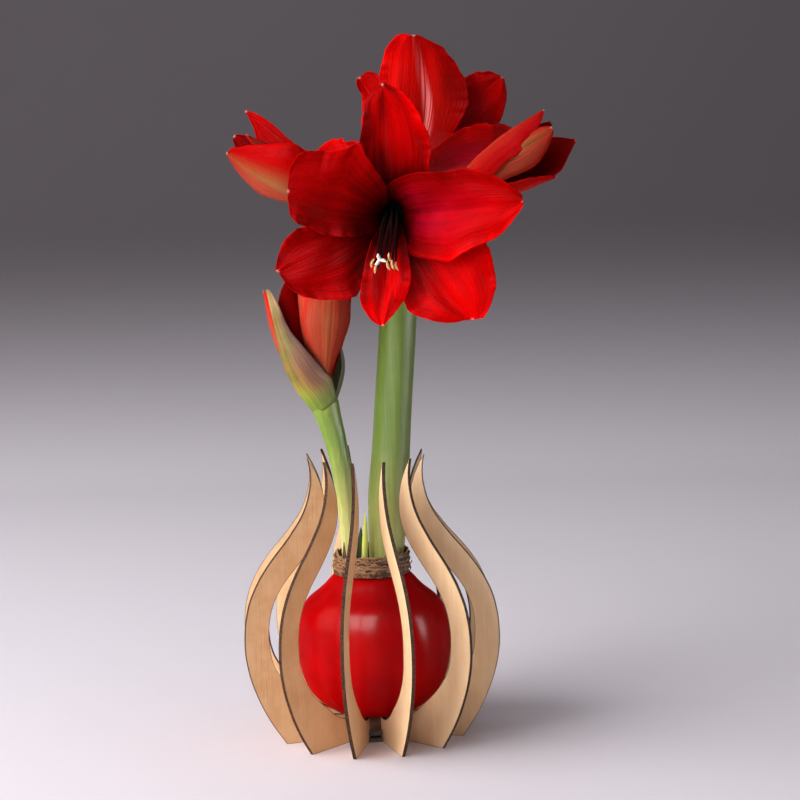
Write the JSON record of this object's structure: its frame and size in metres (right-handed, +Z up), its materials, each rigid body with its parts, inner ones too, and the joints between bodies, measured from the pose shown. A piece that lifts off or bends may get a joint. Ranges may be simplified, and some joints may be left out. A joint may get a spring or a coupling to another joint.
{
  "type": "waxed amaryllis bulb in a wooden stand",
  "caption": "Red waxed amaryllis bulb in full bloom, held in an onion-shaped stand of slotted wooden fins, with a thick flower stem and a slimmer side stem with buds.",
  "frame": {"origin": "on the floor, on the stand's axis, at the centre of the lower disc's underside", "axes": "+Z up along the stand's axis, -Y towards the viewer and the open front bloom, +X to the viewer's right"},
  "size_m": [0.2184, 0.2328, 0.4364],
  "materials": {
    "wood": "plain thin board with dark laser-cut edges",
    "red_wax": "smooth glossy dipped wax",
    "dry_scale": "dry papery skins",
    "green_stem": "smooth fleshy stem, satin",
    "pale_stem": "smooth pale yellow-green stem, satin",
    "dark_leaf": "satin leaf",
    "yellow_leaf": "satin leaf",
    "red_tepal": "velvety petal",
    "spathe": "thin papery sheath"
  },
  "bodies": {
    "root": {"fin_01": "wood", "fin_02": "wood", "fin_03": "wood", "fin_04": "wood", "fin_05": "wood", "fin_06": "wood", "fin_07": "wood", "fin_08": "wood", "fin_09": "wood", "fin_10": "wood", "fin_11": "wood", "fin_12": "wood", "base_disc_lower": "wood", "base_disc_upper": "wood", "waxed_bulb": "red_wax", "bulb_neck": "dry_scale", "flower_stem": "green_stem", "side_stem": "pale_stem", "leaf_tip_yellow": "yellow_leaf", "leaf_tip_green": "dark_leaf", "bloom_front": "red_tepal", "bloom_rear": "red_tepal", "bloom_left": "red_tepal", "bloom_right": "red_tepal", "spathe": "spathe", "side_buds": "red_tepal"}
  },
  "joints": []
}
